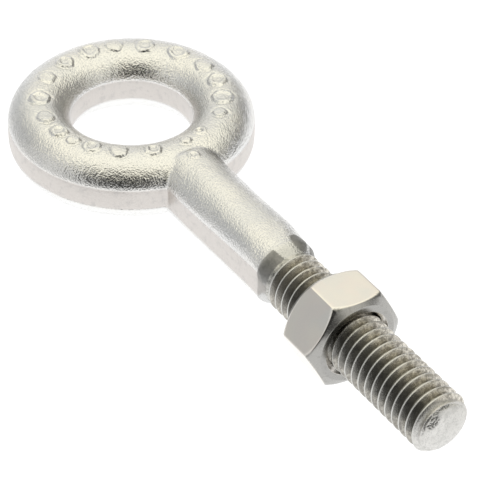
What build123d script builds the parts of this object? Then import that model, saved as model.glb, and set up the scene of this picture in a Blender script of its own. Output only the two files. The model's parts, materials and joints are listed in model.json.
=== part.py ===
from build123d import *
from math import cos, radians, sqrt, tan
import os

# Forged plain-pattern eye bolt with a cut machine thread, and its hex nut.
# The origin is the centre of the eye. +X runs along the shank to the threaded tip, and +Z is the
# axis of the eye. All lengths are in millimetres and all angles in degrees.

INCH = 25.4

# ---- driving dimensions: eye ----
eye_inner_diameter = 3 / 4 * INCH
eye_outer_diameter = 39.4
eye_thickness = 11.4
eye_band_height = 3.5

# ---- driving dimensions: shank, with its crowned faces trimmed flat along both sides ----
shank_diameter_at_eye = 11.2
shank_diameter_at_thread = 10.9
shank_width_at_thread = 10.0
shank_taper_start = 23.0
shank_root_fillet = 1.6

# ---- driving dimensions: thread, run-out and tip ----
thread_diameter = 3 / 8 * INCH
thread_pitch = INCH / 16
thread_phase = 59.7
overall_reach = 82.6
thread_depth = 0.6134 * thread_pitch
turned_cone_start = 41.2
turned_cone_end = 44.4
turned_cone_end_radius = 5.06
shoulder_end = 45.3
shoulder_end_radius = 4.45
runout_end = 46.7
tip_chamfer = 0.9
tip_dome_height = 0.5

# ---- driving dimensions: nut ----
nut_across_flats = 9 / 16 * INCH
nut_thickness = 21 / 64 * INCH
nut_face_diameter = 12.75
nut_chamfer_angle = 30
nut_countersink_diameter = 10.5
nut_centre = 57.6
nut_turned_angle = -2.6
bearing_face_diameter = 13.2
bearing_face_thickness = 0.4
nut_bore_clearance = 0.25
thread_clearance = 0.18

# ---- sizes that follow from them ----
eye_inner_radius = eye_inner_diameter / 2
eye_outer_radius = eye_outer_diameter / 2
eye_middle_radius = (eye_inner_radius + eye_outer_radius) / 2
shank_width_at_eye = sqrt(shank_diameter_at_eye**2 - eye_band_height**2)
major_radius = thread_diameter / 2
root_radius = major_radius - thread_depth
nut_bore_radius = root_radius + nut_bore_clearance
nut_major_radius = major_radius + thread_clearance
nut_corner_radius = nut_across_flats / 2 / cos(radians(30))
nut_back = nut_centre - nut_thickness / 2
nut_front = nut_centre + nut_thickness / 2
flank_angle = 30
crest_width = thread_pitch / 8
thread_stages = 3
turns_per_stage = 9

# ---- allowances for cutting: how far tools reach past what they cut ----
groove_overshoot = 0.1
buried = 0.1
cutting_margin = 1.0
spare_bar = 4 * thread_pitch


def turns_to(position):
    """Whole turns of the thread between thread_phase and a position along the shank."""
    return round((position - thread_phase) / thread_pitch)


def thread_groove(start_turn, turns, floor_radius, mouth_radius, mouth_width):
    """Helical groove along X that cuts a thread; its mouth is wider than its floor.

    start_turn is counted from thread_phase, where a crest of the bolt crosses its +Y side. The
    groove starts on the +Z side, a quarter of a turn later. It is cut a little past its mouth.
    """
    start = thread_phase + (start_turn + 1 / 4) * thread_pitch
    outward = 1 if mouth_radius > floor_radius else -1
    beyond = mouth_radius + outward * groove_overshoot
    mouth = mouth_width / 2 + groove_overshoot * tan(radians(flank_angle))
    floor = mouth - abs(beyond - floor_radius) * tan(radians(flank_angle))
    with BuildPart() as groove:
        with BuildLine() as path:
            Helix(
                thread_pitch, turns * thread_pitch, major_radius, (start, 0, 0), direction=(1, 0, 0)
            )
        with BuildSketch(Plane((start, 0, 0), x_dir=(0, 0, 1), z_dir=(0, -1, 0))):
            with BuildLine():
                Polyline(
                    (floor_radius, -floor), (beyond, -mouth), (beyond, mouth), (floor_radius, floor),
                    close=True,
                )
            make_face()
        sweep(path=path.edge(), is_frenet=True)
    return groove.part


def countersink_profile(face, inward):
    """Half profile of a 45 degree countersink in an end face; inward is +1 or -1 along X."""
    rim = nut_countersink_diameter / 2
    floor = nut_bore_radius - buried
    bottom = face + inward * (rim - floor)
    with BuildSketch(Plane.XY) as profile:
        with BuildLine():
            Polyline((face, 0), (face, rim), (bottom, floor), (bottom, 0), close=True)
        make_face()
    return profile.sketch


# ---- eye: a ring with flat trimmed bands inside and outside, and crowned faces ----
# Its section is drawn on the -X side, so that the ring's seam lies opposite the shank.
with BuildPart() as eye:
    with BuildSketch(Plane((0, 0, 0), x_dir=(-1, 0, 0), z_dir=(0, 1, 0))):
        with BuildLine():
            band = eye_band_height / 2
            crown = eye_thickness / 2
            Line((eye_inner_radius, -band), (eye_inner_radius, band))
            ThreePointArc(
                (eye_inner_radius, band), (eye_middle_radius, crown), (eye_outer_radius, band)
            )
            Line((eye_outer_radius, band), (eye_outer_radius, -band))
            ThreePointArc(
                (eye_outer_radius, -band), (eye_middle_radius, -crown), (eye_inner_radius, -band)
            )
        make_face()
    revolve(axis=Axis.Z)

# ---- shank: round above and below, trimmed flat along its sides, ending in a turned cone ----
with BuildPart() as shank:
    with BuildSketch(Plane.YZ.offset(eye_middle_radius)):
        Circle(shank_diameter_at_eye / 2)
        Rectangle(shank_width_at_eye, shank_diameter_at_eye, mode=Mode.INTERSECT)
    extrude(amount=shank_taper_start - eye_middle_radius)
    with BuildSketch(Plane.YZ.offset(shank_taper_start)):
        Circle(shank_diameter_at_eye / 2)
        Rectangle(shank_width_at_eye, shank_diameter_at_eye, mode=Mode.INTERSECT)
    with BuildSketch(Plane.YZ.offset(runout_end)):
        Circle(shank_diameter_at_thread / 2)
        Rectangle(shank_width_at_thread, shank_diameter_at_thread, mode=Mode.INTERSECT)
    loft()
    with BuildSketch(Plane.XZ):
        with BuildLine():
            outside = shank_diameter_at_eye
            Polyline(
                (turned_cone_start, shank_diameter_at_eye / 2),
                (turned_cone_end, turned_cone_end_radius),
                (shoulder_end, shoulder_end_radius),
                (runout_end, root_radius - buried),
                (runout_end, 0),
                (runout_end + outside, 0),
                (runout_end + outside, outside),
                (turned_cone_start, outside),
                close=True,
            )
        make_face()
    revolve(axis=Axis.X, mode=Mode.SUBTRACT)

# ---- threaded end: a long bar is threaded in stages, then trimmed to its domed, chamfered tip ----
with BuildPart() as threaded_end:
    first_valley = turns_to(turned_cone_end) - 1 / 2
    bar_start = turned_cone_start + cutting_margin
    bar_length = overall_reach - bar_start + spare_bar
    with BuildSketch(Plane.YZ.offset(bar_start)):
        Circle(major_radius)
    extrude(amount=bar_length)
    for stage in range(thread_stages):
        add(
            thread_groove(
                first_valley + stage * turns_per_stage,
                turns_per_stage,
                root_radius,
                major_radius,
                thread_pitch - crest_width,
            ),
            mode=Mode.SUBTRACT,
        )
    with BuildSketch(Plane.XY):
        with BuildLine():
            dome_start = overall_reach - tip_dome_height
            dome_radius = major_radius - tip_chamfer
            outside = major_radius + cutting_margin
            Polyline(
                (bar_start, 0),
                (bar_start, outside),
                (dome_start - tip_chamfer - cutting_margin, outside),
                (dome_start, dome_radius),
            )
            ThreePointArc(
                (dome_start, dome_radius),
                (overall_reach - tip_dome_height / 4, dome_radius / 2),
                (overall_reach, 0),
            )
            Line((overall_reach, 0), (bar_start, 0))
        make_face()
    revolve(axis=Axis.X, mode=Mode.INTERSECT)

# ---- the forging: eye, shank and threaded end are one piece of steel ----
with BuildPart() as eye_bolt_forging:
    add(eye.part)
    add(shank.part)
    root_edges = eye_bolt_forging.edges().filter_by(
        lambda edge: eye_middle_radius < edge.center().X < eye_outer_radius + cutting_margin
        and abs(edge.center().Y) < shank_diameter_at_eye / 2
    )
    fillet(root_edges, radius=shank_root_fillet)
    add(threaded_end.part)

# ---- hexagon of the nut: a long tube is tapped, then cut to a hexagon with chamfered ends ----
with BuildPart() as hex_nut:
    hexagon_back = nut_back + bearing_face_thickness
    tap_start = turns_to(nut_back) - 2
    tap_turns = turns_to(nut_front) + 2 - tap_start
    ridge_depth = nut_major_radius - nut_bore_radius
    with BuildSketch(Plane.YZ.offset(nut_back - spare_bar)):
        Circle(nut_corner_radius + cutting_margin)
        Circle(nut_bore_radius, mode=Mode.SUBTRACT)
    extrude(amount=nut_thickness + 2 * spare_bar)
    add(
        thread_groove(
            tap_start,
            tap_turns,
            nut_major_radius,
            nut_bore_radius,
            crest_width + 2 * ridge_depth * tan(radians(flank_angle)),
        ),
        mode=Mode.SUBTRACT,
    )
    with BuildSketch(Plane.YZ.offset(hexagon_back)):
        RegularPolygon(nut_corner_radius, 6, rotation=nut_turned_angle)
    extrude(amount=nut_front - hexagon_back, mode=Mode.INTERSECT)
    with BuildSketch(Plane.XY):
        with BuildLine():
            rim = nut_corner_radius + cutting_margin
            back_drop = (rim - bearing_face_diameter / 2) * tan(radians(nut_chamfer_angle))
            front_drop = (rim - nut_face_diameter / 2) * tan(radians(nut_chamfer_angle))
            Polyline(
                (nut_back, 0),
                (hexagon_back, bearing_face_diameter / 2),
                (hexagon_back + back_drop, rim),
                (nut_front - front_drop, rim),
                (nut_front, nut_face_diameter / 2),
                (nut_front, 0),
                close=True,
            )
        make_face()
    revolve(axis=Axis.X, mode=Mode.INTERSECT)
    revolve(countersink_profile(nut_front, -1), axis=Axis.X, mode=Mode.SUBTRACT)
    revolve(countersink_profile(nut_back, 1), axis=Axis.X, mode=Mode.SUBTRACT)

# ---- round bearing face on the nut's eye side, wider than the thread all the way through ----
with BuildPart() as nut_bearing_face:
    with BuildSketch(Plane.YZ.offset(nut_back)):
        Circle(bearing_face_diameter / 2)
    extrude(amount=bearing_face_thickness)
    revolve(countersink_profile(nut_back, 1), axis=Axis.X, mode=Mode.SUBTRACT)

# ---- files ----
os.makedirs("parts", exist_ok=True)
eye_bolt_forging.part.label = "eye_bolt_forging"
hex_nut.part.label = "hex_nut"
nut_bearing_face.part.label = "nut_bearing_face"
export_step(eye_bolt_forging.part, "parts/eye_bolt_forging.step")
export_step(hex_nut.part, "parts/hex_nut.step")
export_step(nut_bearing_face.part, "parts/nut_bearing_face.step")
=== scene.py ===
"""Looks of a forged eye bolt and its hex nut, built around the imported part. Lengths are in millimetres
inside the script and become metres where a mesh, bump or camera is made. Bearings are in degrees from
+X towards +Y, and angles round the shank run from +Y towards +Z."""
import json
from math import cos, pi, radians, sin, sqrt, tan

import bpy
import numpy as np
from mathutils import Matrix, Vector, noise


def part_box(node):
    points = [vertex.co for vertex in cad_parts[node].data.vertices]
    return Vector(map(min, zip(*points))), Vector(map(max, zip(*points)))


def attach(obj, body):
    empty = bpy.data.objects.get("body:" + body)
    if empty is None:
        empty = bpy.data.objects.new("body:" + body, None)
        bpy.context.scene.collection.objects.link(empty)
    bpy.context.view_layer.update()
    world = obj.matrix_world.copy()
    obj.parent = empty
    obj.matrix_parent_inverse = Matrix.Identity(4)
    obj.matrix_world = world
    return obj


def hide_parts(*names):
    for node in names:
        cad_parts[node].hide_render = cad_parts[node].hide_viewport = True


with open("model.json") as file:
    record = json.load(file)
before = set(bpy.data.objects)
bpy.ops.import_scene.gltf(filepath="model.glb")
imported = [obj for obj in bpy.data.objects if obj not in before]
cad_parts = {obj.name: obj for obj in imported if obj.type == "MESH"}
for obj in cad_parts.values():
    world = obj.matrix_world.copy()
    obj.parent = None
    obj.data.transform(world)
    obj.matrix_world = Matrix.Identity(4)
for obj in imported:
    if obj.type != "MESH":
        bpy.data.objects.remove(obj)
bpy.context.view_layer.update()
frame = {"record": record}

MM = 0.001
INCH = 25.4

# ---- driving dimensions, read from the frame where it holds them ----
forging_low, forging_high = [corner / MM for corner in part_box("eye_bolt_forging")]
nut_low, nut_high = [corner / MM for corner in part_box("hex_nut")]
bearing_low, bearing_high = [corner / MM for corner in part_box("nut_bearing_face")]
mounts = {mount["name"]: mount for mount in frame["record"]["mounts"]}

# ---- eye ----
eye_outer = -forging_low.x
eye_inner = mounts["eye"]["dims"]["r_mm"]
band_half = mounts["eye"]["dims"]["length_mm"] / 2
eye_middle = (eye_inner + eye_outer) / 2
eye_half_width = (eye_outer - eye_inner) / 2
crown_half = forging_high.z
crown_rise = crown_half - band_half
crown_arc = (eye_half_width**2 + crown_rise**2) / (2 * crown_rise)
crown_centre = crown_half - crown_arc

# ---- forged shank; a pair is where, along X, something starts and ends ----
shank_radius_at_eye, shank_radius_at_thread = 5.6, 5.45
shank_half_width_at_thread = 5.0
shank_half_width_at_eye = sqrt(shank_radius_at_eye**2 - band_half**2)
shank_taper_start = 23.0
shank_cap_centre, shank_cap_length = 17.3, 2.2
shank_stand, stand_fades = 0.22, (20.0, 36.0)
shank_lean, lean_grows = 0.17, (24.0, 42.0)
fullness, corner_fullness, fullness_grows = 0.06, 0.20, (24.0, 39.0)
root_blend, band_edge_blend, cut_edge_blend = 0.55, 0.25, 0.10

# ---- turned cone, thread and tip ----
pitch = INCH / 16
crest_phase = 59.7
major = mounts["threaded_end"]["dims"]["r_mm"]
thread_depth = 0.6134 * pitch
root = major - thread_depth
crest_half = pitch / 16
flank_slope = 1 / tan(radians(30))
flank_foot = crest_half + thread_depth / flank_slope
shoulder_end, runout_end = 45.3, 46.7
turned_places = (41.2, 43.0, 43.4, 45.0, shoulder_end, runout_end)
turned_radii = (5.62, 5.50, 5.40, 4.57, 4.45, root - 0.1)
forging_end = shoulder_end - 0.1
tip = forging_high.x
tip_edge, tip_edge_radius = tip - 0.7, 4.05
thread_start = 43.5

# ---- nut ----
nut_front, nut_back = nut_high.x, nut_low.x
nut_apothem = INCH * 9 / 32
nut_face_radius = 6.375
nut_chamfer = tan(radians(30))
nut_chamfer_reach = 1.7
nut_turn = -2.6
nut_thread_clearance = 0.18
countersink = 5.25
front_mouth_extra = 0.18
bore = root + 0.25
bearing_radius = bearing_high.z
bearing_back = bearing_low.x

# ---- relief of the forged skin, and the gap kept to the CAD box ----
pad_rise = 0.33
skin_sunk = 0.09
inside_box = 0.005

# ---- fineness of the meshes; a higher power makes the hexagon's corners sharper ----
forging_step = 0.18
thread_columns = 168
bearing_columns = 144
bore_rings = 150
hexagon_corner_power = 95.0


def smooth_max(a, b, width):
    """The larger of two values, with the corner between them rounded over a width."""
    share = np.clip(0.5 + 0.5 * (a - b) / width, 0, 1)
    return b + (a - b) * share + width * share * (1 - share)


def smooth_min(a, b, width):
    """The smaller of two values, with the corner between them rounded over a width."""
    return -smooth_max(-a, -b, width)


def smooth_step(low, high, value):
    """0 below low, 1 above high, and a smooth rise between them."""
    share = np.clip((value - low) / (high - low), 0, 1)
    return share * share * (3 - 2 * share)


def noise_at(points, size, offset=0.0):
    """Smooth noise from about -1 to 1 at each point, with features of a given size."""
    scaled = points / size + offset
    return np.array([noise.noise(Vector(p)) for p in scaled])


def round_x(x, radius, theta):
    """Points at places along X, each at a radius and at an angle from +Y."""
    return np.stack([x, radius * np.cos(theta), radius * np.sin(theta)], -1).reshape(-1, 3)


def make_piece(name, points, faces, material, attributes=(), sharp_angle=None):
    """A mesh object from points in millimetres, with one material and named point attributes."""
    mesh = bpy.data.meshes.new(name)
    mesh.from_pydata((points * MM).tolist(), [], faces)
    for label, values in attributes:
        layer = mesh.attributes.new(label, "FLOAT", "POINT")
        layer.data.foreach_set("value", values.astype(np.float32))
    mesh.materials.append(material)
    mesh.shade_smooth()
    if sharp_angle is not None:
        mesh.set_sharp_from_angle(angle=radians(sharp_angle))
    made = bpy.data.objects.new(name, mesh)
    bpy.context.scene.collection.objects.link(made)
    return made


# ---------------------------------------------------------------- camera

camera_place = (258.729, -154.995, 221.198)
camera_bearing, camera_height, camera_roll = -34.61233, 39.28365, 1.73167
camera_lens, camera_sensor = 168.889, 36


def make_camera():
    """The camera. It faces straight against a direction of its bearing and height, a little rolled."""
    data = bpy.data.cameras.new("camera")
    data.sensor_width = camera_sensor
    data.lens = camera_lens
    data.clip_start, data.clip_end = 0.01, 20
    made = bpy.data.objects.new("camera", data)
    turned = Matrix.Rotation(radians(camera_bearing + 90), 4, "Z")
    turned = turned @ Matrix.Rotation(radians(90 - camera_height), 4, "X")
    turned = turned @ Matrix.Rotation(radians(camera_roll), 4, "Z")
    made.matrix_world = Matrix.Translation(Vector(camera_place) * MM) @ turned
    bpy.context.scene.collection.objects.link(made)
    bpy.context.scene.camera = made


# ---------------------------------------------------------------- node trees


class Nodes:
    """Builds a node tree with short calls. An input is a value, or a socket to link."""

    def __init__(self, tree):
        self.tree = tree
        tree.nodes.clear()

    def add(self, kind, inputs=(), output=0, **settings):
        """Adds a node. Gives back one of its outputs, or the node itself if it has none."""
        made = self.tree.nodes.new(kind)
        for key, value in settings.items():
            setattr(made, key, value)
        for key, value in dict(inputs).items():
            if isinstance(value, bpy.types.NodeSocket):
                self.tree.links.new(value, made.inputs[key])
            else:
                made.inputs[key].default_value = value
        return made.outputs[output] if made.outputs else made

    def math(self, operation, a, b=0.0, clamp=False):
        return self.add("ShaderNodeMath", {0: a, 1: b}, operation=operation, use_clamp=clamp)

    def plus(self, a, b):
        return self.math("ADD", a, b)

    def less(self, a, b):
        return self.math("SUBTRACT", a, b)

    def times(self, a, b):
        return self.math("MULTIPLY", a, b)

    def vector(self, operation, a, b=(0, 0, 0)):
        """The vector that an operation makes, or the number where it makes one."""
        output = 1 if operation in ("LENGTH", "DOT_PRODUCT") else 0
        return self.add("ShaderNodeVectorMath", {0: a, 1: b}, output, operation=operation)

    def split(self, vector):
        """The X, Y and Z of a vector."""
        made = self.tree.nodes.new("ShaderNodeSeparateXYZ")
        self.tree.links.new(vector, made.inputs[0])
        return list(made.outputs)

    def joined(self, x, y=0.0):
        """A vector in the XY plane."""
        return self.add("ShaderNodeCombineXYZ", {0: x, 1: y})

    def ramp(self, value, low, high, to_low=0.0, to_high=1.0):
        """A value taken smoothly from to_low, at low, to to_high, at high."""
        return self.add(
            "ShaderNodeMapRange",
            {"Value": value, "From Min": low, "From Max": high, "To Min": to_low, "To Max": to_high},
            interpolation_type="SMOOTHSTEP",
        )

    def mix(self, share, a, b):
        """Colour a where the share is 0, and colour b where it is 1."""
        first, second = [c if isinstance(c, bpy.types.NodeSocket) else (*c, 1) for c in (a, b)]
        return self.add("ShaderNodeMix", {0: share, 6: first, 7: second}, 2, data_type="RGBA")

    def noise(self, place, per_mm, detail=2.0, rough=0.5):
        """Noise round a half, finer where per_mm is higher."""
        return self.add(
            "ShaderNodeTexNoise",
            {"Vector": place, "Scale": per_mm, "Detail": detail, "Roughness": rough},
        )

    def mm_place(self):
        """The point's own place on the object, in millimetres."""
        place = self.add("ShaderNodeTexCoord", output="Object")
        return self.add("ShaderNodeVectorMath", {0: place, "Scale": 1 / MM}, operation="SCALE")

    def attribute(self, name):
        """A share from 0 to 1 that the mesh carries at its points."""
        return self.add("ShaderNodeAttribute", output="Fac", attribute_name=name)

    def bump(self, height, distance, strength):
        """Normals as if heights stood out by a distance in millimetres."""
        return self.add(
            "ShaderNodeBump", {"Height": height, "Distance": distance * MM, "Strength": strength}
        )

    def towards(self, direction, bearing, near, far):
        """1 where a level direction is within near degrees of a bearing, falling to 0 at far degrees."""
        axis = (cos(radians(bearing)), sin(radians(bearing)), 0)
        facing = self.vector("DOT_PRODUCT", direction, axis)
        return self.ramp(facing, cos(radians(far)), cos(radians(near)))

    def camera_ray(self):
        """1 for what the camera sees directly, and 0 for what the metal reflects."""
        return self.add("ShaderNodeLightPath", output="Is Camera Ray")

    def finish_metal(self, colour, roughness, normal):
        """Ends the tree with a bare metal."""
        shader = self.add(
            "ShaderNodeBsdfPrincipled",
            {"Metallic": 1.0, "Base Color": colour, "Roughness": roughness, "Normal": normal},
        )
        self.add("ShaderNodeOutputMaterial", {0: shader})


def new_material(name):
    made = bpy.data.materials.new(name)
    made.use_nodes = True
    return made, Nodes(made.node_tree)


# ---------------------------------------------------------------- surroundings and floor

tent_low, tent_high = (0.60, 0.61, 0.605), (1.20, 1.165, 1.01)
# Sides of the tent that differ from it: bearing; degrees from it at which the side starts and has
# ended to fade; heights, as the sine of the angle above level, between which it fades; and colour.
# Each lies over the ones before it.
tent_sides = (
    (-140, 16, 44, 0.48, 0.88, (0.51, 0.515, 0.51)),
    (-100, 8, 28, 0.30, 0.80, (0.78, 0.78, 0.77)),
    (142, 18, 45, 0.30, 0.80, (0.82, 0.81, 0.78)),
    (22, 8, 28, 0.30, 0.62, (0.98, 0.96, 0.90)),
    (85, 30, 54, 0.35, 0.66, (0.22, 0.215, 0.205)),
    (-38, 29, 50, 0.62, 0.98, (0.04, 0.04, 0.039)),
)


def make_world():
    """A tent round the part, as the metal sees it: cream overhead, greyer low down, dark on some sides.

    The camera sees plain white instead.
    """
    world = bpy.data.worlds.new("tent")
    bpy.context.scene.world = world
    world.use_nodes = True
    nodes = Nodes(world.node_tree)
    direction = nodes.add("ShaderNodeTexCoord", output="Generated")
    level = nodes.vector("NORMALIZE", nodes.vector("MULTIPLY", direction, (1, 1, 0)))
    height = nodes.split(direction)[2]
    colour = nodes.mix(nodes.ramp(height, 0.0, 0.85), tent_low, tent_high)
    for bearing, near, far, full_below, gone_above, side_colour in tent_sides:
        low_down = nodes.ramp(height, full_below, gone_above, 1.0, 0.0)
        share = nodes.times(nodes.towards(level, bearing, near, far), low_down)
        colour = nodes.mix(share, colour, side_colour)
    colour = nodes.mix(nodes.camera_ray(), colour, (1, 1, 1))
    light = nodes.add("ShaderNodeBackground", {"Color": colour, "Strength": 1.0})
    nodes.add("ShaderNodeOutputWorld", {0: light})


floor_half_size = 1500.0
floor_gap = 0.02
floor_colour = (0.06, 0.06, 0.06, 1)
floor_glow = 1.09
nut_touch_inset = 0.6
# Where the metal sees the floor darkened: far out on the camera's side, and partly, nearer by, on the
# left. A side is a bearing and the degrees from it at which it starts and has ended to fade. A start is
# the distances at which the darkening starts and is full, from the bolt's axis or from its outline.
dark_side, dark_start = (-38, 30, 62), (30.0, 62.0)
grey_side, grey_start, grey_most = (-120, 38, 72), (9.0, 24.0), 0.45


def floor_darkness(nodes):
    """How much of its light the floor lacks, as the metal sees it."""
    place = nodes.vector("MULTIPLY", nodes.mm_place(), (1, 1, 0))
    along = nodes.math("MAXIMUM", 0.0, nodes.math("MINIMUM", nodes.split(place)[0], tip))
    beside = nodes.vector("SUBTRACT", place, nodes.joined(along))
    outwards = nodes.vector("NORMALIZE", beside)
    from_axis = nodes.vector("LENGTH", beside)
    dark = nodes.times(nodes.ramp(from_axis, *dark_start), nodes.towards(outwards, *dark_side))
    from_eye = nodes.less(nodes.vector("LENGTH", place), eye_outer)
    from_shank = nodes.less(from_axis, shank_half_width_at_eye)
    from_outline = nodes.math("MINIMUM", from_eye, from_shank)
    grey = nodes.ramp(from_outline, *grey_start, 0.0, grey_most)
    grey = nodes.times(grey, nodes.towards(outwards, *grey_side))
    return nodes.math("MAXIMUM", dark, grey)


def floor_white():
    """A floor that the camera sees as plain white, and sees through from below."""
    material, nodes = new_material("floor_white")
    matt = nodes.add("ShaderNodeBsdfDiffuse", {"Color": floor_colour})
    not_camera = nodes.less(1.0, nodes.camera_ray())
    strength = nodes.less(floor_glow, nodes.times(floor_darkness(nodes), not_camera))
    glow = nodes.add("ShaderNodeEmission", {"Color": (1, 1, 1, 1), "Strength": strength})
    both = nodes.add("ShaderNodeAddShader", {0: matt, 1: glow})
    below = nodes.add("ShaderNodeNewGeometry", output="Backfacing")
    clear = nodes.add("ShaderNodeBsdfTransparent")
    seen_through = nodes.add("ShaderNodeMixShader", {0: below, 1: both, 2: clear})
    nodes.add("ShaderNodeOutputMaterial", {0: seen_through})
    return material


def make_floor():
    """A wide floor, tilted so that it runs just under the lowest points of the eye and of the nut."""
    eye_x, eye_z = -eye_middle, -crown_half
    nut_x = nut_back + nut_touch_inset
    nut_z = -nut_apothem / cos(radians(30)) * sin(radians(60 - nut_turn))
    slope = (nut_z - eye_z) / (nut_x - eye_x)
    ends = (-floor_half_size, floor_half_size)
    points = np.array([(x, y, eye_z - floor_gap + (x - eye_x) * slope) for x in ends for y in ends])
    floor = make_piece("floor", points, [[0, 2, 3, 1]], floor_white())


# ---------------------------------------------------------------- materials


def forged_skin():
    """Bright zinc over a forged, shot-cleaned skin, with smoother trimmed bands and turned patches, and
    painted light on the underside.
    """
    skin_tones, speck_tone = ((0.78, 0.78, 0.775), (0.83, 0.82, 0.795)), (0.64, 0.64, 0.63)
    near_thread_tone, painted_underside_light_tone = (0.50, 0.50, 0.485), (0.90, 0.90, 0.89)
    band_tones = (0.665, 0.633, 0.605), (0.59, 0.567, 0.547)
    cut_tones = (0.28, 0.28, 0.27), (0.34, 0.335, 0.325)

    material, nodes = new_material("forged_zinc")
    place = nodes.mm_place()
    axial = nodes.split(place)[0]
    band, turned = nodes.attribute("band"), nodes.attribute("turned")
    grain = nodes.noise(place, 3.7)
    coarse = nodes.noise(place, 1.3)
    tone = nodes.noise(place, 0.16, 3.0)
    speck = nodes.noise(place, 5.0, 2.0, 0.7)
    blotch = nodes.noise(place, 1.1, 3.0, 0.65)
    scratches = nodes.noise(place, 0.8, 4.0, 0.75)
    striae = nodes.noise(nodes.joined(axial), 7.0)

    colour = nodes.mix(nodes.ramp(tone, 0.35, 0.65), *skin_tones)
    colour = nodes.mix(nodes.ramp(speck, 0.50, 0.68), colour, speck_tone)
    colour = nodes.mix(nodes.ramp(axial, 42.0, 44.6, 0.0, 0.75), colour, near_thread_tone)
    # painted light: zinc that faces down is made brighter, as if burnt out by light from below
    colour = nodes.mix(nodes.attribute("below"), colour, painted_underside_light_tone)
    colour = nodes.mix(band, colour, nodes.mix(nodes.ramp(scratches, 0.50, 0.66), *band_tones))
    colour = nodes.mix(turned, colour, nodes.mix(nodes.ramp(blotch, 0.40, 0.60), *cut_tones))

    rough = nodes.ramp(grain, 0.3, 0.7, 0.07, 0.17)
    rough = nodes.plus(rough, nodes.times(band, 0.22))
    rough = nodes.plus(rough, nodes.times(turned, 0.36))
    smoothed = nodes.math("ADD", nodes.times(band, 0.72), nodes.times(turned, 0.8), clamp=True)
    height = nodes.plus(grain, nodes.times(coarse, 0.25))
    height = nodes.times(height, nodes.less(1.0, smoothed))
    height = nodes.plus(height, nodes.times(striae, nodes.times(turned, 0.08)))
    nodes.finish_metal(colour, rough, nodes.bump(height, 0.115, 1.0))
    return material


def turned_zinc():
    """Cut thread under zinc: bright crests, smooth flanks darkened as painted shade, painted shade deep in
    the grooves, a paler side that is both scuffing and painted light, and a pitted tip.
    """
    # the flank tones are painted shade: a dark reflection painted into the zinc's colour
    painted_shade_flank_tones, runout_tone = ((0.19, 0.187, 0.177), (0.28, 0.275, 0.258)), (0.46, 0.44, 0.40)
    scuff_and_painted_light_tones = (0.37, 0.345, 0.30), (0.81, 0.775, 0.695)
    painted_groove_shade_tone, crest_tone = (0.20, 0.195, 0.17), (0.64, 0.635, 0.61)
    cone_tones = (0.32, 0.32, 0.30), (0.60, 0.59, 0.56)
    end_tones, end_speck_tone = ((0.75, 0.74, 0.715), (0.66, 0.655, 0.63)), (0.55, 0.545, 0.525)
    pit_tone = (0.10, 0.10, 0.095)

    material, nodes = new_material("turned_zinc")
    place = nodes.mm_place()
    x, y, z = nodes.split(place)
    depth, end, scuff_and_painted_light = nodes.attribute("depth"), nodes.attribute("end"), nodes.attribute("scuff_and_painted_light")
    fine = nodes.noise(place, 5.0, 3.0, 0.65)
    blotch = nodes.noise(place, 1.0, 3.0, 0.6)
    pitting = nodes.noise(place, 3.4, 2.0, 0.6)
    # the mottle is drawn out along the thread's turns
    drawn_out = nodes.joined(x, nodes.times(nodes.math("ARCTAN2", y, z), 0.35 * major))
    mottle = nodes.noise(drawn_out, 2.9, 3.0, 0.7)

    # painted shade: the unscuffed flanks are darkened, less so towards the run-out
    painted_shade_flank = nodes.mix(nodes.ramp(blotch, 0.35, 0.68), *painted_shade_flank_tones)
    painted_shade_flank = nodes.mix(nodes.ramp(x, 47.5, 52.0, 0.45, 0.0), painted_shade_flank, runout_tone)
    # scuffing and painted light: the scuffed side is paler, and being one side of the thread it also stands
    # in for light falling there
    scuffed_and_painted_light_flank = nodes.mix(nodes.ramp(mottle, 0.40, 0.62), *scuff_and_painted_light_tones)
    colour = nodes.mix(scuff_and_painted_light, painted_shade_flank, scuffed_and_painted_light_flank)
    # painted shade: the colour darkens towards the roots of the thread's grooves
    colour = nodes.mix(nodes.ramp(depth, 0.6, 1.0, 0.0, 0.5), colour, painted_groove_shade_tone)
    worn_crest = nodes.less(1.0, nodes.times(nodes.ramp(mottle, 0.50, 0.62), scuff_and_painted_light))
    crest = nodes.times(nodes.ramp(depth, 0.03, 0.11, 1.0, 0.0), worn_crest)
    colour = nodes.mix(crest, colour, crest_tone)
    cone_colour = nodes.mix(nodes.ramp(blotch, 0.4, 0.62), *cone_tones)
    colour = nodes.mix(nodes.attribute("cone"), colour, cone_colour)
    end_colour = nodes.mix(nodes.ramp(blotch, 0.50, 0.62), *end_tones)
    end_colour = nodes.mix(nodes.ramp(fine, 0.54, 0.66), end_colour, end_speck_tone)
    colour = nodes.mix(end, colour, end_colour)
    pits = nodes.times(nodes.attribute("pitted"), nodes.ramp(pitting, 0.42, 0.56))
    colour = nodes.mix(pits, colour, pit_tone)

    rough = nodes.ramp(fine, 0.3, 0.7, 0.14, 0.24)
    rough = nodes.plus(rough, nodes.times(nodes.plus(scuff_and_painted_light, end), 0.12))
    height = nodes.plus(fine, nodes.times(nodes.times(mottle, scuff_and_painted_light), 1.6))
    height = nodes.plus(height, nodes.times(nodes.times(fine, end), 1.2))
    height = nodes.plus(height, nodes.times(pits, -2.0))
    nodes.finish_metal(colour, rough, nodes.bump(height, 0.06, 0.9))
    return material


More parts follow.
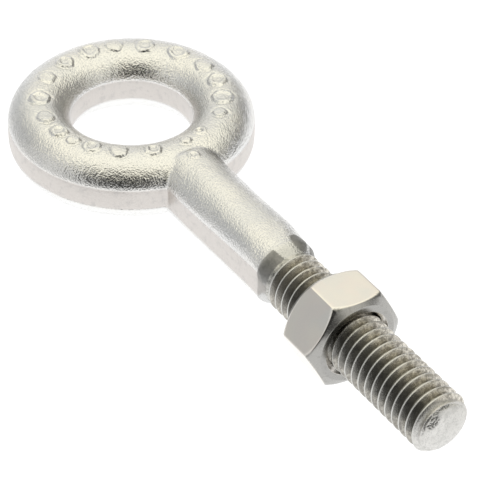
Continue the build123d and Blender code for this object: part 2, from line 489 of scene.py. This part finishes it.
def nut_satin(name):
    """Satin zinc on a machined nut: fine drawn grain on the flats, duller turned rings on the end faces."""
    flat_tones, warm_tone = ((0.80, 0.780, 0.745), (0.85, 0.810, 0.750)), (0.86, 0.785, 0.735)
    face_tone, face_stain_tone = (0.39, 0.385, 0.37), (0.30, 0.295, 0.275)
    inner_tone = (0.34, 0.33, 0.30)

    material, nodes = new_material(name)
    place = nodes.mm_place()
    _, y, z = nodes.split(place)
    radius = nodes.math("SQRT", nodes.plus(nodes.math("POWER", y, 2.0), nodes.math("POWER", z, 2.0)))
    faced, inner = nodes.attribute("faced"), nodes.attribute("inner")
    rings = nodes.noise(nodes.joined(radius), 7.0)
    drawn = nodes.noise(nodes.vector("MULTIPLY", place, (0.25, 6.0, 6.0)), 1.0, 3.0)
    fine = nodes.noise(place, 4.0, 3.0, 0.6)
    tone = nodes.noise(place, 0.25)
    warmth = nodes.noise(place, 0.34)
    stain = nodes.noise(place, 1.2, 3.0, 0.7)

    colour = nodes.mix(nodes.ramp(tone, 0.3, 0.7), *flat_tones)
    colour = nodes.mix(nodes.ramp(warmth, 0.50, 0.60, 0.0, 0.35), colour, warm_tone)
    colour = nodes.mix(faced, colour, face_tone)
    stained = nodes.times(nodes.ramp(stain, 0.52, 0.66, 0.0, 0.5), faced)
    colour = nodes.mix(stained, colour, face_stain_tone)
    colour = nodes.mix(inner, colour, inner_tone)

    rough = nodes.plus(nodes.ramp(fine, 0.3, 0.7, 0.14, 0.21), nodes.times(faced, 0.07))
    face_height = nodes.times(nodes.times(rings, faced), 0.5)
    flat_height = nodes.plus(nodes.times(drawn, 0.25), nodes.times(fine, 0.25))
    height = nodes.plus(face_height, nodes.times(flat_height, nodes.less(1.0, faced)))
    nodes.finish_metal(colour, rough, nodes.bump(height, 0.02, 0.4))
    return material


# ---------------------------------------------------------------- forged eye and shank


def taper_share(x):
    """0 before the shank starts to taper, rising to 1 at the thread's run-out."""
    return np.clip((x - shank_taper_start) / (runout_end - shank_taper_start), 0, 1)


def shank_radius(x):
    return shank_radius_at_eye + (shank_radius_at_thread - shank_radius_at_eye) * taper_share(x)


def shank_half_width(x):
    return shank_half_width_at_eye + (shank_half_width_at_thread - shank_half_width_at_eye) * taper_share(x)


def turned_radius(x):
    """The turned cone between the forged shank and the thread, carried on to the thread's root."""
    before = turned_radii[0] + 0.1 * (turned_places[0] - x)
    return np.where(x < turned_places[0], before, np.interp(x, turned_places, turned_radii))


def forged_radius(x, theta):
    """Radius of the forged shank at an angle from +Y: its dies leave it fuller towards the corners."""
    stand = shank_stand * (1 - smooth_step(*stand_fades, x))
    fuller = fullness - corner_fullness * np.cos(4 * theta)
    return shank_radius(x) + stand + smooth_step(*fullness_grows, x) * fuller


def forging_shape(p):
    """Below 0 inside the forged eye and shank, above 0 outside, about a distance in millimetres."""
    x, y, z = p[..., 0], p[..., 1], p[..., 2]
    from_axis = np.hypot(x, y)
    across = np.abs(from_axis - eye_middle)
    crown = np.hypot(across, np.maximum(np.abs(z) - crown_centre, 0)) - crown_arc
    eye = smooth_max(crown, across - eye_half_width, band_edge_blend)
    lean = shank_lean * smooth_step(*lean_grows, x)
    y_off, z_off = y - lean, z - lean
    into_cap = np.maximum(shank_cap_centre - x, 0) * shank_radius_at_eye / shank_cap_length
    from_middle = np.hypot(np.hypot(y_off, z_off), into_cap)
    round_part = from_middle - forged_radius(x, np.arctan2(z_off, y_off))
    shank = smooth_max(round_part, np.abs(y_off) - shank_half_width(x), band_edge_blend)
    # the blend at the shank root stays outside the hole
    whole = np.maximum(smooth_min(eye, shank, root_blend), eye_inner - from_axis)
    # the lathe's cut ends the shank, and leaves the eye alone
    deep_inside = -9
    turned = np.where(x > eye_outer * 1.5, np.hypot(y, z) - turned_radius(x), deep_inside)
    return np.maximum(smooth_max(whole, turned, cut_edge_blend), x - forging_end)


def stepped_back(cells, axes, steps):
    """Grid cells moved back by a number of steps along each of the given axes."""
    moved = cells.copy()
    for axis, step in zip(axes, steps):
        moved[:, axis] -= step
    return moved


def surface_net(shape, low, high, step):
    """Quads over the zero surface of a shape that is sampled on a grid.

    Each grid cell that the surface crosses holds one point, the middle of the crossings on its edges.
    Each grid edge that the surface crosses becomes a quad between the four cells round it.
    """
    axes = [np.arange(low[i], high[i] + step, step) for i in range(3)]
    value = shape(np.stack(np.meshgrid(*axes, indexing="ij"), -1))
    inside = value < 0
    cells = tuple(n - 1 for n in inside.shape)
    total, count = np.zeros((*cells, 3)), np.zeros(cells)
    crossings = []
    for axis in range(3):
        ahead, behind = [slice(None)] * 3, [slice(None)] * 3
        ahead[axis], behind[axis] = slice(1, None), slice(None, -1)
        ahead, behind = tuple(ahead), tuple(behind)
        crossed = inside[behind] != inside[ahead]
        edges = np.argwhere(crossed)
        first, second = value[behind][crossed], value[ahead][crossed]
        place = edges.astype(float)
        place[:, axis] += first / (first - second)
        others = [i for i in range(3) if i != axis]
        for steps in ((0, 0), (0, 1), (1, 0), (1, 1)):
            cell = stepped_back(edges, others, steps)
            fits = np.all((cell >= 0) & (cell < np.array(cells)), axis=1)
            index = tuple(cell[fits].T)
            np.add.at(total, index, place[fits])
            np.add.at(count, index, 1)
        crossings.append((axis, others, edges, inside[behind][crossed]))

    used = count > 0
    number = np.full(cells, -1)
    number[used] = np.arange(used.sum())
    points = np.array(low) + total[used] / count[used][:, None] * step
    faces = []
    for axis, others, edges, starts_inside in crossings:
        round_edge = [stepped_back(edges, others, steps) for steps in ((0, 0), (1, 0), (1, 1), (0, 1))]
        quads = np.stack([number[tuple(cell.T)] for cell in round_edge], 1)
        flip = starts_inside if axis == 1 else ~starts_inside
        quads[flip] = quads[flip][:, ::-1]
        faces.append(quads)
    return points, np.concatenate(faces)


def slope_of(shape, p, reach=0.02):
    """Outward slope of a shape at each point."""
    slope = np.zeros_like(p)
    for axis in range(3):
        shift = np.zeros(3)
        shift[axis] = reach
        slope[:, axis] = (shape(p + shift) - shape(p - shift)) / (2 * reach)
    return slope


# Plain round pads on the eye's upper face, some of them dished: the bearing of each, its radius, and
# how deep its dish is as a share of its height.
raised_pads = (
    (177, 1.50, 0.85), (160, 1.25, 0.0), (140, 1.40, 0.85), (117, 1.50, 0.85), (95, 1.25, 0.0),
    (77, 1.40, 0.85), (58, 1.50, 0.85), (41, 0.85, 0.0), (4, 0.75, 0.0), (-18, 1.20, 0.85),
    (-39, 1.30, 0.0), (-56, 1.20, 0.85), (-69, 0.80, 0.0), (-82, 1.20, 0.85), (-99, 1.15, 0.0),
    (-120, 1.40, 0.85), (-143, 1.20, 0.0), (-163, 1.30, 0.85),
)
pad_circle = eye_middle - 0.2
# Each pad is worked out within this many degrees of its bearing.
pad_reach = 9.5
# One small round pit on the crown: bearing, distance from the eye's centre, and radius.
pit_bearing, pit_distance, pit_radius = 18, 13.9, 0.50
# A small ring at the root of the shank: its centre along X, its radius and its height share.
ring_place, ring_radius, ring_rise = eye_outer - 1.4, 0.7, 0.6


def pad_height(radius, dish, u, v):
    """Height share of one pad; u runs round the eye and v outwards, from the pad's own centre."""
    away = np.hypot(u, v) - radius
    pad = 1 - smooth_step(-0.05, 0.32, away)
    hollow = dish * (1 - smooth_step(-0.72, -0.28, away))
    moat = smooth_step(0.15, 0.42, away) * (1 - smooth_step(0.42, 0.90, away))
    return pad - hollow - 0.30 * moat


def pit_height(away):
    """Height share of the pit and its raised rim, at a distance from the pit's centre."""
    rim = 0.6 * (1 - smooth_step(0.15, 0.42, np.abs(away - pit_radius - 0.3)))
    return rim - 1.3 * (1 - smooth_step(0.5 * pit_radius, pit_radius + 0.15, away))


def raised_height(points):
    """Height share at each point of the pads, the pit and the shank's ring, all on the upper side."""
    x, y, z = points.T
    upper = z > 0
    from_axis = np.hypot(x, y)
    bearing = np.degrees(np.arctan2(y, x))
    # the pads' outlines are bent a little, as forged ones are
    bent_u = 0.32 * noise_at(points, 1.4, 11.0) + 0.10 * noise_at(points, 0.6, 13.0)
    bent_v = 0.32 * noise_at(points, 1.4, 17.0) + 0.10 * noise_at(points, 0.6, 19.0)
    raised = np.zeros(len(points))
    for pad_bearing, radius, dish in raised_pads:
        turn = (bearing - pad_bearing + 180) % 360 - 180
        near = upper & (np.abs(turn) < pad_reach)
        u = np.radians(turn[near]) * from_axis[near] + bent_u[near]
        v = from_axis[near] - pad_circle + bent_v[near]
        raised[near] += pad_height(radius, dish, u, v)
    pit_x, pit_y = pit_distance * cos(radians(pit_bearing)), pit_distance * sin(radians(pit_bearing))
    raised += upper * pit_height(np.hypot(x - pit_x, y - pit_y))
    from_ring = np.abs(np.hypot(x - ring_place, y) - ring_radius)
    near = upper & (from_ring < ring_radius)
    ring = ring_rise * (1 - smooth_step(0.1, 0.4, from_ring[near]))
    raised[near] = np.maximum(raised[near], ring)
    return raised


def band_share(points, outward):
    """1 on the trimmed bands outside and inside the eye and along the shank, 0 on the forged faces."""
    x, _, z = points.T
    shank_band = np.sqrt(shank_radius(x) ** 2 - shank_half_width(x) ** 2)
    above = np.abs(z) - np.where(x > eye_outer, shank_band, band_half)
    upright = 1 - smooth_step(0.10, 0.20, np.abs(outward[:, 2]))
    return upright * (1 - smooth_step(-0.10, 0.10, above))


# Where the lathe's cut starts along the shank, and how strong it looks, at angles round the shank.
cut_angles = (0, 36, 46, 106, 112, 124, 148, 180, 270, 360)
cut_starts = (43.3, 43.4, 45.4, 45.2, 42.9, 43.0, 43.1, 43.3, 43.0, 43.3)
strength_angles, strengths = (0, 148, 176, 330, 360), (1, 1, 0.45, 0.45, 1)
# The one oval that the cutter touched: its place and half length along X, and its angle and half width.
oval_place, oval_half_length = 43.1, 1.6
oval_angle, oval_half_angle = 61, 15.5


def turned_share(points):
    """1 where the lathe has cut the end of the shank, 0 where the forged skin is left."""
    x, y, z = points.T
    theta = np.degrees(np.arctan2(z, y)) % 360
    ragged = np.zeros(len(points))
    end = x > turned_places[0] - 1
    ragged[end] = noise_at(points[end], 1.1, 6.0)
    cut = smooth_step(-0.08, 0.08, x - np.interp(theta, cut_angles, cut_starts) + 0.22 * ragged)
    from_oval = np.hypot((x - oval_place) / oval_half_length, (theta - oval_angle) / oval_half_angle)
    oval = 1 - smooth_step(0.92, 1.06, from_oval + 0.12 * ragged)
    return np.maximum(cut * np.interp(theta, strength_angles, strengths), oval)


def forging_surface():
    """Points on the forging's surface, moved onto it from a grid, and the quads between them."""
    step = forging_step
    low = np.array([forging_low.x, forging_low.y, forging_low.z - shank_stand]) - 2 * step
    high = np.array([shoulder_end + 0.2, forging_high.y, forging_high.z + shank_stand]) + 2 * step
    points, faces = surface_net(forging_shape, low, high, step)
    for _ in range(3):
        slope = slope_of(forging_shape, points)
        steepness = np.maximum((slope**2).sum(1), 0.2)
        points -= slope * (forging_shape(points) / steepness)[:, None]
    return points, faces


def make_forging():
    """The forged eye and shank, with the lumps of the forged skin and the raised pads."""
    points, faces = forging_surface()
    slope = slope_of(forging_shape, points, 0.1)
    outward = slope / np.linalg.norm(slope, axis=1)[:, None]
    band, turned = band_share(points, outward), turned_share(points)
    # painted light: the underside's zinc is set brighter, so that the strip below the eye's band burns out
    # white
    below = smooth_step(0.12, 0.30, -outward[:, 2])
    lumps = 0.045 * noise_at(points, 3.2) + 0.022 * noise_at(points, 1.1, 9.0)
    lumps = lumps + 0.012 * noise_at(points, 0.5, 3.0)
    left_rough = (1 - 0.75 * band) * (1 - 0.9 * turned)
    sunk = skin_sunk * (1 - 0.6 * turned)
    worn = 0.75 + 0.5 * noise_at(points, 2.2, 4.0)
    push = lumps * left_rough - sunk + pad_rise * raised_height(points) * worn
    points = points + outward * push[:, None]
    low_box, high_box = np.array(forging_low) + inside_box, np.array(forging_high) - inside_box
    points[:, :2] = np.clip(points[:, :2], low_box[:2], high_box[:2])
    piece = make_piece(
        "forged_eye_and_shank", points, faces.tolist(), forged_skin(),
        [("band", band), ("turned", turned), ("below", below)],
    )
    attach(piece, "bolt")
    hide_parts("eye_bolt_forging")


# ---------------------------------------------------------------- turned cone, thread and tip


def thread_phases():
    """Places of the mesh rows across one pitch, from mid root over the crest to mid root."""
    flank = np.linspace(crest_half, flank_foot, 7)
    half = np.concatenate([[0.02], flank, [(flank_foot + pitch / 2) / 2]])
    return np.concatenate([[-pitch / 2], -half[::-1], half])


def thread_grid():
    """Places along X of the thread's mesh, their angles from +Y, and their phases within a pitch.

    A row follows the thread round once, so its places move on by a pitch.
    """
    phases = thread_phases()
    first = int((thread_start - crest_phase) // pitch) - 3
    last = int((tip - crest_phase) // pitch) + 4
    turns = np.arange(first, last)
    start = (crest_phase + pitch * turns[:, None] + phases[None, :]).ravel()
    angle = np.arange(thread_columns) * 2 * pi / thread_columns
    x = start[:, None] + pitch * angle[None, :] / (2 * pi)
    theta = np.broadcast_to(angle[None, :], x.shape)
    phase = np.broadcast_to(np.tile(phases, len(turns))[:, None], x.shape)
    return x, theta, phase


def helical_faces(rows, per_turn, columns):
    """Quads over rows that follow a helix: a row's end meets the start of the row one pitch on."""
    row, column = np.meshgrid(np.arange(rows - 1 - per_turn), np.arange(columns), indexing="ij")
    last = column == columns - 1
    next_row = np.where(last, row + per_turn, row)
    next_column = np.where(last, 0, column + 1)
    return np.stack(
        [
            row * columns + column,
            next_row * columns + next_column,
            (next_row + 1) * columns + next_column,
            (row + 1) * columns + column,
        ],
        -1,
    ).reshape(-1, 4)


def weld(points, faces, distance=1e-5):
    """Which points to keep where some lie on each other, and the faces that this leaves."""
    keys = np.round(points / distance).astype(np.int64)
    _, first, back = np.unique(keys, axis=0, return_index=True, return_inverse=True)
    joined = back.reshape(-1)[faces]
    kept = []
    for face in joined:
        corners = [corner for at, corner in enumerate(face) if corner != face[at - 1]]
        if len(corners) > 2:
            kept.append(corners)
    return first, kept


# The thread's scuffed side, which is also painted lighter, and the strip opposite it, as angles round the
# thread; the strip's share.
scuff_and_painted_light_angle, strip_angle, strip_most = radians(20), radians(205), 0.45


def scuff_and_painted_light_share(theta, wear):
    """1 on the scuffed side of the thread, less on a strip opposite, and 0 elsewhere; the same share paints
    that side lighter.
    """
    wide = smooth_step(-0.30, 0.55, np.cos(theta - scuff_and_painted_light_angle) + 0.20 * wear)
    strip = smooth_step(0.86, 1.0, np.cos(theta - strip_angle) + 0.1 * wear)
    return np.maximum(wide, strip_most * strip)


def thread_radius(phase, wear, coarse, scuff_and_painted_light):
    """Radius of the cut thread at a phase within its pitch, its crests worn down where it is scuffed."""
    cut = root + np.clip((flank_foot - np.abs(phase)) * flank_slope, 0, thread_depth)
    worn_off = np.clip(0.05 * wear + 0.03 * coarse + 0.02, 0, 1) * (0.3 + 1.2 * scuff_and_painted_light)
    cut = smooth_min(cut, major - 0.012 - worn_off, 0.06)
    return cut + (0.008 + 0.012 * scuff_and_painted_light) * wear


def bar_radius(x, cut, cone):
    """Radius of the cone, the thread and the chamfer at the tip, one after the other along X."""
    radius = smooth_max(cut, np.where(x < runout_end + 1, cone, 0), 0.05)
    radius = np.where(x < shoulder_end - 0.3, cone - 0.2, radius)
    chamfer = tip_edge_radius + (tip_edge - x)
    return np.minimum(smooth_min(radius, chamfer, 0.05), major)


def dome_place(dome_radius, theta):
    """Where the tip's slightly domed, rough end lies along X; a fine groove runs inside its edge."""
    rough = noise_at(round_x(0 * dome_radius, dome_radius, theta), 0.8).reshape(dome_radius.shape)
    lip = dome_radius / tip_edge_radius
    dome = tip_edge + (tip - tip_edge) * (0.93 - 0.93 * lip**3.8) + 0.045 * rough * (1 - lip**6)
    groove = 0.10 * np.exp(-(((lip - 0.95) / 0.03) ** 2))
    return np.minimum(dome - groove, tip - inside_box)


def pitted_share(dome_radius, theta):
    """1 in a patch of the tip's end near its edge, less along the edge, and 0 elsewhere."""
    angle = np.degrees(theta)
    from_patch = np.hypot((dome_radius - 3.1) / 0.85, (angle - 136) / 22)
    along_edge = np.hypot((dome_radius - 3.75) / 0.25, (angle - 122) / 48)
    patch, edge = [1 - smooth_step(0.7, 1.3, away) for away in (from_patch, along_edge)]
    return np.maximum(patch, 0.8 * edge)


def make_thread():
    """The turned cone, the thread and the tip, as one surface of rows that follow the thread."""
    x, theta, phase = thread_grid()
    at = round_x(x, 5, theta)
    wear = noise_at(at, 1.3, 2.0).reshape(x.shape)
    coarse = noise_at(at, 4.0, 5.0).reshape(x.shape)
    scuff_and_painted_light = scuff_and_painted_light_share(theta, wear)
    cut = thread_radius(phase, wear, coarse, scuff_and_painted_light)
    cone = turned_radius(x)
    radius = bar_radius(x, cut, cone)

    # rows past the tip's edge close over the dome, and rows before the start close inside the shank
    in_tip = x > tip_edge
    dome_radius = tip_edge_radius * (1 - np.clip((x - tip_edge) / 2.0, 0, 1) ** 1.5)
    before = np.clip((thread_start - x) / 1.2, 0, 1)
    out_x = np.where(in_tip, dome_place(dome_radius, theta), np.maximum(x, thread_start))
    out_r = np.where(in_tip, dome_radius, radius * (1 - before))

    end = smooth_step(tip_edge - 0.9, tip_edge - 0.5, x)
    depth = np.where(in_tip, 0, np.clip((major - out_r) / thread_depth, 0, 1)) * (1 - end)
    on_cone = smooth_step(-0.02, 0.02, cone - np.maximum(cut, 0)) * (x < runout_end)
    pitted = in_tip * pitted_share(dome_radius, theta)
    values = [("depth", depth), ("cone", on_cone), ("end", end), ("scuff_and_painted_light", scuff_and_painted_light), ("pitted", pitted)]

    points = round_x(out_x, out_r, theta)
    kept, faces = weld(points, helical_faces(len(x), len(thread_phases()), thread_columns))
    piece = make_piece(
        "turned_thread", points[kept], faces, turned_zinc(),
        [(label, value.reshape(-1)[kept]) for label, value in values], 32,
    )
    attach(piece, "bolt")


# ---------------------------------------------------------------- nut


def loop_faces(rows, columns):
    """Quads over closed rows and closed columns."""
    row, column = np.meshgrid(np.arange(rows), np.arange(columns), indexing="ij")
    next_row, next_column = (row + 1) % rows, (column + 1) % columns
    return np.stack(
        [
            row * columns + column,
            next_row * columns + column,
            next_row * columns + next_column,
            row * columns + next_column,
        ],
        -1,
    ).reshape(-1, 4)


def hexagon_angles():
    """Angles of the hexagon's points, closer together towards its corners."""
    from_corner = np.array([0, 0.5, 1.0, 1.6, 2.4, 4, 7, 11, 15, 20, 25, 30])
    sector = np.concatenate([from_corner, 60 - from_corner[1:-1][::-1]])
    return np.radians(nut_turn + np.concatenate([sector + 60 * side for side in range(6)]))


def hexagon_radius(angle):
    """Radius of the hexagon at each angle, with its corners a little rounded."""
    flats = np.radians(nut_turn + 30 + 60 * np.arange(6))
    lean = np.clip(np.cos(angle[:, None] - flats[None, :]), 0, None)
    return nut_apothem / (lean**hexagon_corner_power).sum(1) ** (1 / hexagon_corner_power)


def make_nut():
    """The nut's hexagon, as rings of points: out over the front, back over the flats, through the bore."""
    angle = hexagon_angles()
    hexagon = hexagon_radius(angle)
    back_mouth = countersink - (nut_back - bearing_back)
    front_mouth = countersink + front_mouth_extra
    rings = []

    def ring(x, r, faced=0.0, inner=0.0):
        rings.append([np.broadcast_to(value, angle.shape) for value in (x, r, faced, inner)])

    def outside(x):
        """A ring on the flats and their rounded end chamfers."""
        ahead = nut_face_radius + (nut_front - x) / nut_chamfer
        behind = bearing_radius + (x - nut_back) / nut_chamfer
        softness = 0.22 + 0.55 * smooth_step(7.6, 8.2, hexagon)
        r = smooth_min(smooth_min(hexagon, ahead, softness), behind, softness)
        ring(x, r, 0.95 * smooth_step(0.03, 0.10, hexagon - r))

    face_middle = (front_mouth + nut_face_radius) / 2
    for r in (front_mouth + 0.03, front_mouth + 0.12, face_middle, nut_face_radius - 0.10):
        ring(nut_front, r, 1.0)
    ring(nut_front - 0.012, nut_face_radius - 0.02, 1.0)
    from_end = (0.04, 0.10, 0.17, 0.25, 0.33, 0.41, 0.49, 0.57, 0.66, 0.76, 0.87, 1.0, 1.15, 1.35)
    from_end = (*from_end, nut_chamfer_reach)
    for distance in from_end:
        outside(nut_front - distance)
    for share in (0.25, 0.5, 0.75):
        outside(nut_front - nut_chamfer_reach + share * (nut_back - nut_front + 2 * nut_chamfer_reach))
    for distance in from_end[::-1]:
        outside(nut_back + distance)
    ring(nut_back, bearing_radius - 0.1, 1.0)
    ring(nut_back, back_mouth, 1.0)
    for x in np.linspace(nut_back, nut_front, bore_rings):
        away = np.abs((x - crest_phase - pitch * angle / (2 * pi) + pitch / 2) % pitch - pitch / 2)
        groove = major + nut_thread_clearance - np.clip(away - crest_half, 0, None) * flank_slope
        thread = np.maximum(groove, bore)
        mouth = max(front_mouth - (nut_front - x), back_mouth - (x - nut_back))
        ring(x, np.maximum(thread, mouth), 0.0, np.where(mouth > thread, 0.35, 1.0))

    x, r, faced, inner = [np.array([one[part] for one in rings]) for part in range(4)]
    piece = make_piece(
        "hex_nut_body", round_x(x, r, np.broadcast_to(angle, x.shape)),
        loop_faces(len(rings), len(angle)).tolist(), nut_satin("nut_zinc"),
        [("faced", faced.ravel()), ("inner", inner.ravel())], 50,
    )
    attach(piece, "nut")
    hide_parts("hex_nut")


bearing_softness = 0.09


def bearing_outline():
    """Half section of the bearing face, as places along X and radii, with its outer rim rounded."""
    soft = bearing_softness
    outline = [
        (bearing_back, countersink + soft),
        (bearing_back, (countersink + bearing_radius) / 2),
    ]
    for turn in range(5):
        lean = radians(90 - 22.5 * turn)
        rim_x, rim_radius = bearing_back + soft * (1 - sin(lean)), bearing_radius - soft * (1 - cos(lean))
        outline.append((rim_x, rim_radius))
    outline += [
        (nut_back, bearing_radius),
        (nut_back, countersink - (nut_back - bearing_back)),
        (bearing_back + soft, countersink - soft),
    ]
    return np.array(outline)


def make_bearing_face():
    """The round bearing face on the nut's eye side, with softened rims."""
    outline = bearing_outline()
    angle = np.arange(bearing_columns) * 2 * pi / bearing_columns
    x, r = [np.repeat(outline[:, part:part + 1], bearing_columns, 1) for part in range(2)]
    points = round_x(x, r, np.broadcast_to(angle, x.shape))
    faces = loop_faces(len(outline), bearing_columns)[:, ::-1]
    piece = make_piece(
        "nut_bearing_ring", points, faces.tolist(), nut_satin("nut_bearing_zinc"),
        [("faced", np.ones(len(points))), ("inner", np.zeros(len(points)))], 40,
    )
    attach(piece, "nut_carrier")
    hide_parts("nut_bearing_face")


# ---------------------------------------------------------------- build

bpy.context.scene.view_settings.view_transform = "Standard"
make_camera()
make_world()
make_floor()
make_forging()
make_thread()
make_nut()
make_bearing_face()
